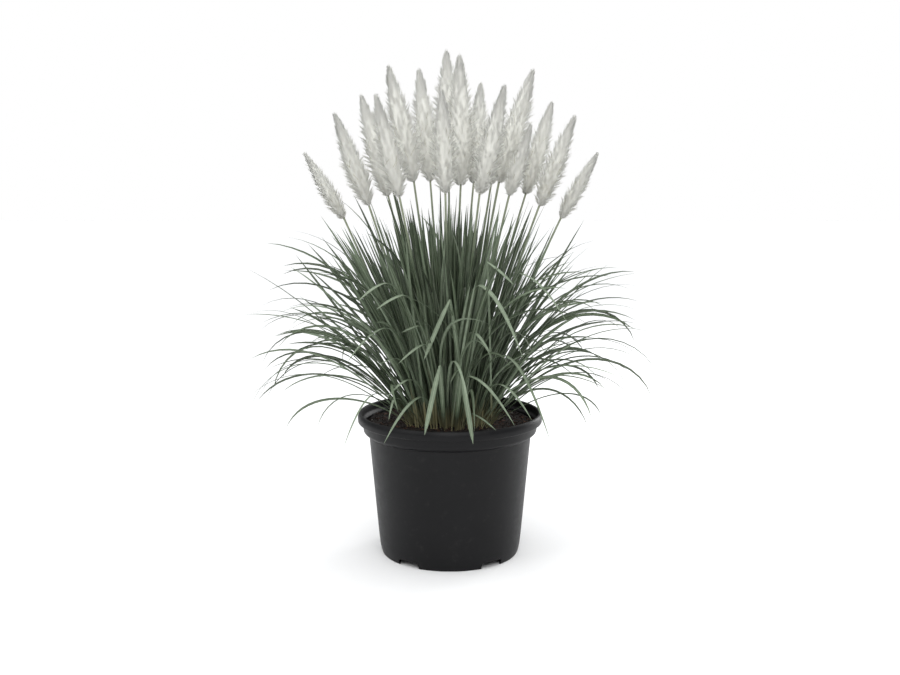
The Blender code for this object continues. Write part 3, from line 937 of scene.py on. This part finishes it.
def add_front_blade(blades, foot_x, apex, tip, width, folded, tone):
    """Adds a blade that rises at the front of the crown to its apex and falls to its tip. It is
    one smooth arch, or two straight lengths that meet in a crease."""
    apex, tip = np.array(apex) + APEX_MOVE, np.array(tip) + TIP_MOVE
    foot = np.array((foot_x, -0.082 + 0.45 * abs(foot_x), LEAF_FOOT))
    if folded:
        rise = bent(foot, (foot + apex) / 2 + (0.0, -0.035, 0.01), apex, 10)
        fall = bent(apex, (apex + tip) / 2 + (0.0, -0.012, 0.006), tip, 10)
        out = np.array((apex[0], apex[1], 0.0)) / math.hypot(apex[0], apex[1])
        # The rising arm is painted at 0.8 of the tone of the falling arm that hangs over it:
        # painted shade.
        for centre, shade, span in ((rise, 0.8, (0.0, 0.55)), (fall, 1.0, (0.5, 1.0))):
            side, upper = facing(centre, 0.92 * out + (0.0, 0.0, 0.39))
            widths = blade_widths(10, width, 0.40)
            if centre is rise:
                widths = np.minimum(widths[::-1] * 1.6, width * np.linspace(0.8, 0.95, 10))
            blades.add(centre, side, upper, widths, np.full(10, 0.28), tone * shade, span)
        return
    flat = np.array((1.0, 1.0, 0.0))
    onward = (apex - foot) * flat / 2 + (tip - apex) * flat
    onward *= 0.5 * np.linalg.norm((tip - apex) * flat) / np.linalg.norm(onward)
    rise = bent(foot, foot + (apex - foot) * (0.35, 0.35, 0.96), apex, 14)
    fall = bent(apex, apex + onward, tip, 14)
    centre = np.vstack([rise, fall[1:]])
    side, upper = rolled_out(centre)
    fold = np.full(len(centre), 0.28)
    # The blade is painted darker over the lower part of its rise, at 0.45 of its tone up to
    # three tenths of its length, and at full tone from six tenths on: painted shade.
    tones = tone * np.interp(np.linspace(0, 1, len(centre)), (0.3, 0.6), (0.45, 1.0))
    blades.add(centre, side, upper, blade_widths(len(centre), width), fold, tones)


def pulled_heading(heading):
    """A heading drawn towards the nearest of the crown's clumps, which leaves gaps between."""
    degrees = math.degrees(heading) % 360
    nearest = min(CLUMP_HEADINGS, key=lambda c: abs((degrees - c + 180) % 360 - 180))
    off = (degrees - nearest + 180) % 360 - 180
    return math.radians(nearest + off * 0.62)


def grow_blade(rng, leaf, blades, heading, outward, stiff):
    """Adds one blade. outward is 0 for the middle of the clump and 1 for its lowest skirt."""
    foot_heading = pulled_heading(heading + rng.normal(0, 0.10))
    radius = min(0.012 + 0.072 * outward**0.6 + rng.normal(0, 0.006), 0.096)
    foot = (radius * math.cos(foot_heading), radius * math.sin(foot_heading), LEAF_FOOT)
    low = rng.uniform(0, 1) * max(outward - 0.6, 0.0) / 0.4
    lean = math.radians(1.5 + 33 * outward + 20 * low) + rng.normal(0, 0.06)
    if stiff:
        bow = math.radians(5 + 26 * outward) * rng.uniform(0.3, 1.6)
        length = leaf.length * (0.90 - 0.25 * rng.uniform() ** 1.5) * (1 - 0.05 * outward)
        length *= rng.choice((1.0, 1.12), p=(0.85, 0.15))
        bend = rng.uniform(0.9, 2.2)
    else:
        bow = math.radians(62 + 74 * outward) * rng.uniform(0.5, 1.15)
        length = leaf.length * rng.uniform(0.66, 1.06) * (1 - 0.04 * outward) * (1 - 0.2 * low)
        bend = rng.uniform(1.2, 2.6)
    count = 13 if stiff else 20
    drift = rng.normal(0, 0.20 if stiff else 0.50)
    tip_lean = min(lean + bow, math.radians(162))
    centre, side, upper = arching_line(
        np.array(foot), heading, length, max(lean, 0.01), tip_lean, bend, drift, count
    )
    high = SOLIDS_BOX[1]
    reach = max(abs(centre[:, 0]).max() / high.x, abs(centre[:, 1]).max() / high.y)
    if reach > 0.985:
        centre[:, :2] *= (1 - (1 - 0.985 / reach) * np.linspace(0, 1, count) ** 0.7)[:, None]
    t = np.linspace(0, 1, count)
    turn = rng.uniform(-1.3, 1.3) if stiff else rng.choice((-1, 1)) * rng.uniform(0.2, 0.95)
    side, upper = twisted(side, upper, turn + rng.normal(0, 0.6) * t)
    width = leaf.width * rng.uniform(0.68, 1.0) * (1 - 0.30 * outward)
    fold = np.radians(np.clip(34 - 22 * t + rng.normal(0, 5), 4, 60))
    blades.add(centre, side, upper, blade_widths(count, width), fold, rng.uniform(0, 1) ** 1.3)


class POTTEDGRASS_OT_upright_leaves(bpy.types.Operator):
    """Makes the upright blades in the middle of the clump, as eight shoots"""

    bl_idname = "potted_grass.upright_leaves"
    bl_label = "Upright Leaves"

    def execute(self, context):
        leaf = context.scene.grass_leaf
        material = waxy_grass_blade(leaf)
        for number in range(1, 9):
            rng = np.random.default_rng(SEED + 10 * number)
            blades = Blades()
            node = f"upright_shoot_{number:02d}"
            low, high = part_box(node)
            top = (low + high) / 2
            middle = math.atan2(top.y, top.x)
            for _ in range(leaf.upright_count):
                heading = middle + rng.uniform(-0.62, 0.62)
                outward = rng.uniform(0.0, 0.55)
                grow_blade(rng, leaf, blades, heading, outward, rng.uniform() > outward * 0.35)
            settle(blades.piece(f"upright_leaves_{number:02d}", material), "leaf", node)
        return {"FINISHED"}


class POTTEDGRASS_OT_arching_leaves(bpy.types.Operator):
    """Makes the blades that arch out over the rim, as twelve shoots round the clump"""

    bl_idname = "potted_grass.arching_leaves"
    bl_label = "Arching Leaves"

    def execute(self, context):
        leaf = context.scene.grass_leaf
        material = bpy.data.materials["waxy_grass_blade"]
        for number in range(12):
            rng = np.random.default_rng(SEED + 1000 + 10 * number)
            blades = Blades()
            node = f"arching_shoot_{number + 1:02d}"
            middle = math.radians(30 * number)
            sideways = abs(math.cos(middle))
            for _ in range(round(leaf.arching_count * (0.62 + 0.38 * sideways))):
                heading = middle + rng.uniform(-0.36, 0.36)
                outward = rng.uniform(0.30, 0.72 + 0.28 * sideways)
                grow_blade(rng, leaf, blades, heading, outward, rng.uniform() > outward * 0.9)
            for shoot, foot_x, apex, tip, width, folded in FRONT_BLADES:
                if shoot == number + 1:
                    tone = rng.uniform(0.75, 1.0)
                    add_front_blade(blades, foot_x, apex, tip, width, folded, tone)
            settle(blades.piece(f"arching_leaves_{number + 1:02d}", material), "leaf", node)
        return {"FINISHED"}


# ---- Flower stems ----------------------------------------
class POTTEDGRASS_OT_flower_stems(bpy.types.Operator):
    """Makes the nineteen flower stems, each with a leaf sheath and one joint"""

    bl_idname = "potted_grass.flower_stems"
    bl_label = "Flower Stems"

    def execute(self, context):
        stem = context.scene.grass_stem
        material = smooth_green_culm(stem)
        for number, (x, y, plume_foot, _, _) in enumerate(FLOWERS, start=1):
            share = np.linspace(0, 1, 34)
            heights = SOIL_TOP - 0.003 + (plume_foot + 0.004 - SOIL_TOP + 0.003) * share
            centre = np.array([on_stem(x, y, height) for height in heights])
            radii = stem.foot_radius + (stem.top_radius - stem.foot_radius) * share
            sheath = 1 + 0.35 * (1 - np.clip((share - 0.30) / 0.03, 0, 1)) * (share > 0.02)
            joint = 1 + 0.30 * np.exp(-(((share - 0.56 - 0.01 * (number % 4)) / 0.012) ** 2))
            points = rod_points(centre, radii * sheath * joint, 10)
            faces = tube_triangles(len(centre), 10)
            piece = mesh_piece(f"culm_{number:02d}", points, faces, material)
            give_points(piece, "height_share", np.repeat(share, 10))
            settle(piece, "flower_stem", f"flower_stem_{number:02d}")
        return {"FINISHED"}


# ---- Plumes ----------------------------------------------
def plume_outline(share):
    """A plume's radius along it, as a share of its half width."""
    knots = (0.0, 0.04, 0.10, 0.20, 0.33, 0.47, 0.60, 0.73, 0.86, 0.93, 0.98, 1.0)
    radii = (0.08, 0.36, 0.62, 0.86, 1.0, 0.94, 0.80, 0.58, 0.35, 0.21, 0.10, 0.02)
    return np.interp(share, knots, radii)


def level_rays(heading):
    """A level direction for each heading."""
    return np.stack([np.cos(heading), np.sin(heading), np.zeros(len(heading))], 1)


def placed(ray, radius, height):
    """Points out along level rays from a plume's axis, each at its radius and height."""
    points = ray * radius[:, None]
    points[:, 2] = height
    return points


def spikes(foot, tip, width, foot_paleness, tip_paleness):
    """Many hairs as slender closed spikes with three sides: points, faces and paleness."""
    direction = tip - foot
    direction /= np.linalg.norm(direction, axis=1)[:, None]
    guide = np.where(abs(direction[:, 2:3]) < 0.9, (0.0, 0.0, 1.0), (1.0, 0.0, 0.0))
    side = np.cross(direction, guide)
    side /= np.linalg.norm(side, axis=1)[:, None]
    other = np.cross(direction, side)
    corners = []
    for angle in (0.0, 2 * math.pi / 3, 4 * math.pi / 3):
        out = side * math.cos(angle) + other * math.sin(angle)
        corners.append(foot + out * width[:, None] / 2)
    points = np.stack([*corners, tip], 1)
    faces = np.array(((0, 2, 1), (0, 1, 3), (1, 2, 3), (2, 0, 3)))
    index = faces[None] + (4 * np.arange(len(foot)))[:, None, None]
    # The callers give each hair's foot a lower paleness than its tip, which paints the hair
    # darker where it lies deeper in the down: painted shade.
    paleness = np.tile((foot_paleness, foot_paleness, foot_paleness, tip_paleness), len(foot))
    return points.reshape(-1, 3), index.reshape(-1, 3), paleness


def down_body(half, length, seed):
    """The heart of a plume, where the down is packed too close to see between the hairs."""
    rings, sides = 54, 26
    points = []
    for share in np.linspace(0.0, 0.975, rings):
        radius = BODY_SHARE * half * plume_outline(share) * min(0.35 + share / 0.15, 1.0)
        for angle in 2 * math.pi * np.arange(sides) / sides:
            ray = (math.cos(angle), math.sin(angle))
            tufts = noise.noise(Vector((ray[0] * 2.6, ray[1] * 2.6, share * 16 + seed)))
            fine = noise.noise(Vector((ray[0] * 8, ray[1] * 8, share * 34 + seed)))
            bumpy = radius * (1 + 0.10 * tufts + 0.06 * fine)
            points.append((ray[0] * bumpy, ray[1] * bumpy, share * length))
    points = np.array(points)
    # Points that lie deeper in the down, in the hollows between its bumps, are painted darker
    # than those that stand out: painted shade.
    reach = np.hypot(points[:, 0], points[:, 1]) / (half * plume_outline(points[:, 2] / length))
    paleness = np.clip(0.75 + 2.0 * (reach - 0.64), 0.5, 0.95)
    return points, tube_triangles(rings, sides), paleness


def standing_tufts(rng, plume, half, length):
    """Tufts of hair that stand off the body, up and outwards, each drawn to a point."""
    count = round(plume.tufts * length / USUAL_PLUME)
    start = 0.005 + 0.955 * ((np.arange(count) + 0.5) / count) ** 1.12
    heading = GOLDEN_ANGLE * np.arange(count) + rng.normal(0, 0.25, count)
    ray, around = level_rays(heading), level_rays(heading + math.pi / 2)
    base = placed(ray, 0.50 * half * plume_outline(start), start * length)
    climb = 0.0160 * math.sqrt(length / USUAL_PLUME) * rng.uniform(0.75, 1.15, count)
    climb *= np.clip((1.03 - start) / 0.22, 0.35, 1.0) * np.clip(0.35 + start / 0.22, 0, 1)
    high = np.minimum(start + climb / length, 0.996)
    reach = half * plume_outline(high) * rng.uniform(0.92, 1.46, count)
    tip = placed(ray, reach, high * length) + around * rng.normal(0, 0.0012, (count, 1))
    axis = (tip - base) / np.linalg.norm(tip - base, axis=1)[:, None]
    hairs = np.repeat(np.arange(count), plume.hairs)
    total = len(hairs)
    foot = base[hairs] + around[hairs] * rng.uniform(-0.0026, 0.0026, (total, 1))
    foot += axis[hairs] * rng.uniform(-0.001, 0.006, (total, 1))
    foot += ray[hairs] * rng.uniform(-0.0012, 0.0020, (total, 1))
    end = base[hairs] + (tip - base)[hairs] * rng.uniform(0.72, 1.0, (total, 1))
    end += rng.normal(0, 0.0007, (total, 3))
    return spikes(foot, end, rng.uniform(0.00050, 0.00080, total), 0.70, 1.0)


def last_tuft(rng, half, length, count=90):
    """The tuft that carries a plume's axis on to a fine point."""
    ray, rise = level_rays(rng.uniform(0, 2 * math.pi, count)), rng.uniform(0.86, 0.95, count)
    foot = placed(ray, 0.75 * half * plume_outline(rise), rise * length)
    reach = rng.uniform(0, 0.0016, count)
    end = placed(ray, reach, length * np.minimum(rise + rng.uniform(0.045, 0.085, count), 1.0))
    return spikes(foot, end, np.full(count, 0.0007), 0.70, 0.9)


def loose_hairs(rng, plume, half, length):
    """Loose hairs that soften a plume's outline."""
    count = round(plume.loose_hairs * length / USUAL_PLUME)
    start = rng.uniform(0.02, 0.93, count)
    ray = level_rays(rng.uniform(0, 2 * math.pi, count))
    foot = placed(ray, 0.70 * half * plume_outline(start), start * length)
    open_angle = np.radians(rng.uniform(22, 62, count)) * (1.1 - 0.5 * start)
    axis = ray * np.sin(open_angle)[:, None] + (0.0, 0.0, 1.0) * np.cos(open_angle)[:, None]
    axis += rng.normal(0, 0.16, (count, 3))
    reach = rng.uniform(0.008, 0.015, count) * np.clip((1.05 - start) / 0.3, 0.35, 1)
    end = foot + axis * reach[:, None]
    end[:, 2] = np.minimum(end[:, 2], length)
    return spikes(foot, end, np.full(count, 0.00042), 0.8, 1.0)


def straw_rod(line, foot_radius, tip_radius, sides):
    """A rod along a line, for the branchlets and the axis, which are all straw-coloured."""
    points = rod_points(line, np.linspace(foot_radius, tip_radius, len(line)), sides)
    return points, tube_triangles(len(line), sides), np.zeros(len(points))


def branchlet(rng, half, length, number):
    """A branchlet that curves up and out, and shows through the down in the lower half."""
    start = rng.uniform(0.03, 0.50)
    heading, curl = rng.uniform(0, 2 * math.pi), rng.normal(0, 0.5)
    steps = np.linspace(0.0, 1.0, 7)
    out = 0.80 * half * plume_outline(start + 0.14 * steps) * np.sin(steps * 1.45)
    height = (start + (0.17 + 0.03 * math.sin(number)) * steps) * length
    line = placed(level_rays(heading + curl * steps**2), out, height)
    return straw_rod(line, 0.00065, 0.0003, 3)


def plume_parts(rng, plume, half, length):
    """Points, faces and paleness of a plume that stands on the origin."""
    parts = [
        down_body(half, length, rng.uniform(0, 90)),
        standing_tufts(rng, plume, half, length),
        last_tuft(rng, half, length),
        loose_hairs(rng, plume, half, length),
    ]
    parts += [branchlet(rng, half, length, number) for number in range(plume.branchlets)]
    axis = np.stack([np.zeros(12), np.zeros(12), np.linspace(-0.002, 0.93 * length, 12)], 1)
    parts.append(straw_rod(axis, 0.0018, 0.0005, 6))
    starts = np.cumsum([0] + [len(points) for points, _, _ in parts])
    points = np.vstack([points for points, _, _ in parts])
    faces = np.vstack([faces + first for (_, faces, _), first in zip(parts, starts)])
    return points, faces, np.concatenate([paleness for _, _, paleness in parts])


def soft_normals(points, half, length):
    """Down is too fine to have sides of its own, so it takes light as the whole plume does."""
    lift = 0.30 * half * plume_outline(np.clip(points[:, 2] / length, 0, 1))
    normals = points * (1.0, 1.0, 0.0)
    normals[:, 2] = lift
    return normals / np.linalg.norm(normals, axis=1)[:, None]


class POTTEDGRASS_OT_plumes(bpy.types.Operator):
    """Makes the nineteen feathery plumes: an axis, its branchlets, and the hairs on them"""

    bl_idname = "potted_grass.plumes"
    bl_label = "Plumes"

    def execute(self, context):
        plume = context.scene.grass_plume
        material = silky_down(plume)
        for number, (x, y, foot_height, length, lean) in enumerate(FLOWERS, start=1):
            rng = np.random.default_rng(SEED + 5000 + number)
            foot = on_stem(x, y, foot_height)
            tip = on_stem(x, y, foot_height + length) + Vector((lean, 0.0, 0.0))
            axis, half = tip - foot, plume.half_width * length
            points, faces, paleness = plume_parts(rng, plume, half, axis.length)
            height = np.clip(points[:, 2] / axis.length, 0, 1)
            turn = np.array(axis.to_track_quat("Z", "Y").to_matrix()).T
            normals = soft_normals(points, half, axis.length) @ turn
            points = points @ turn + np.array(foot)
            piece = mesh_piece(f"plume_down_{number:02d}", points, faces, material)
            piece.data.normals_split_custom_set_from_vertices(normals)
            give_points(piece, "paleness", paleness)
            give_points(piece, "height_share", height)
            # The three plumes at the front get tone 1 and so the fewest husks, which paints them
            # whiter than those behind: painted light.
            tone = 1.0 if y < -0.1 else rng.uniform(0, 0.8)
            give_points(piece, "tone", np.full(len(points), tone))
            settle(piece, "plume", f"plume_{number:02d}")
        return {"FINISHED"}


# ---- Stage -----------------------------------------------
def area_light(name, place, target, size, power):
    """A white softbox that faces its target and doesn't show in the picture."""
    data = bpy.data.lights.new(name, "AREA")
    data.shape = "RECTANGLE"
    data.size, data.size_y = size
    data.energy = power
    light = add_object(name, data)
    light.location = place
    aim = Vector(target) - Vector(place)
    light.rotation_euler = aim.to_track_quat("-Z", "Y").to_euler()
    light.visible_camera = False


class POTTEDGRASS_OT_stage(bpy.types.Operator):
    """Makes the paper floor, the soft studio lights, the sky colour and the camera"""

    bl_idname = "potted_grass.stage"
    bl_label = "Stage"

    def execute(self, context):
        stage = context.scene.grass_stage
        half = stage.floor_size / 2
        corners = ((-half, -half, 0), (half, -half, 0), (half, half, 0), (-half, half, 0))
        floor = mesh_piece("paper_floor", corners, ((0, 1, 2, 3),), background_paper(stage))

        world = bpy.data.worlds.new("white_studio")
        world.use_nodes = True
        tree = world.node_tree
        tree.nodes.clear()
        # A white ceiling lit from below, over walls left dim, so black plastic stays black.
        direction = add_node(tree, "ShaderNodeTexCoord").outputs["Generated"]
        height = add_node(tree, "ShaderNodeSeparateXYZ", {"Vector": direction}).outputs["Z"]
        strength = mapped(tree, height, 0.25, 0.75, 0.22, 1.85)
        white = {"Color": (*linear("#FAFBFC"), 1.0), "Strength": strength}
        lit = add_node(tree, "ShaderNodeBackground", white)
        seen = add_node(tree, "ShaderNodeBackground", {"Color": (1, 1, 1, 1), "Strength": 1.0})
        ray = add_node(tree, "ShaderNodeLightPath").outputs["Is Camera Ray"]
        shades = {0: ray, 1: lit.outputs["Background"], 2: seen.outputs["Background"]}
        both = add_node(tree, "ShaderNodeMixShader", shades)
        add_node(tree, "ShaderNodeOutputWorld", {"Surface": both.outputs["Shader"]})
        context.scene.world = world

        area_light("overhead_softbox", (-0.3, -0.5, 3.2), (0, 0, 0.4), (2.4, 2.4), 13)
        area_light("front_softbox", (0.3, -3.0, 1.9), (0, 0, 0.98), (2.2, 1.2), 38)
        area_light("left_softbox", (-2.6, -1.7, 1.9), (0, 0, 0.55), (1.6, 2.0), 18)
        area_light("right_softbox", (2.1, 2.1, 1.0), (0, 0, 0.30), (1.1, 1.6), 36)

        camera = add_object("camera", bpy.data.cameras.new("camera"))
        camera.data.sensor_width = 36.0
        camera.data.lens = 44.0
        camera.location = (0.0, -2.103, 0.738)
        camera.rotation_euler = (math.radians(90 - 8.52), 0.0, 0.0)
        camera.data.clip_end = 100.0
        context.scene.camera = camera
        context.scene.view_settings.view_transform = "Standard"
        return {"FINISHED"}


# ---- Panel -----------------------------------------------
OPERATORS = (
    POTTEDGRASS_OT_stage,
    POTTEDGRASS_OT_nursery_pot,
    POTTEDGRASS_OT_potting_mix,
    POTTEDGRASS_OT_flower_stems,
    POTTEDGRASS_OT_upright_leaves,
    POTTEDGRASS_OT_arching_leaves,
    POTTEDGRASS_OT_plumes,
)


class POTTEDGRASS_PT_panel(bpy.types.Panel):
    """Lists the pieces of the potted grass with their sizes and colours"""

    bl_idname = "POTTEDGRASS_PT_panel"
    bl_label = "Potted Grass"
    bl_space_type = "VIEW_3D"
    bl_region_type = "UI"
    bl_category = "Potted Grass"

    def draw(self, context):
        for operator in OPERATORS:
            self.layout.operator(operator.bl_idname)
        for name, group in SETTINGS.items():
            box = self.layout.box()
            box.label(text=group.__name__.replace("Settings", ""))
            for prop in group.__annotations__:
                box.prop(getattr(context.scene, name), prop)


CLASSES = (*SETTINGS.values(), *OPERATORS, POTTEDGRASS_PT_panel)


def register():
    for cls in CLASSES:
        bpy.utils.register_class(cls)
    for name, group in SETTINGS.items():
        setattr(bpy.types.Scene, name, PointerProperty(type=group))


def unregister():
    for name in SETTINGS:
        delattr(bpy.types.Scene, name)
    for cls in reversed(CLASSES):
        bpy.utils.unregister_class(cls)


def main():
    register()
    bpy.ops.potted_grass.stage()
    bpy.ops.potted_grass.nursery_pot()
    bpy.ops.potted_grass.potting_mix()
    bpy.ops.potted_grass.flower_stems()
    bpy.ops.potted_grass.upright_leaves()
    bpy.ops.potted_grass.arching_leaves()
    bpy.ops.potted_grass.plumes()


if __name__ == "__main__":
    main()
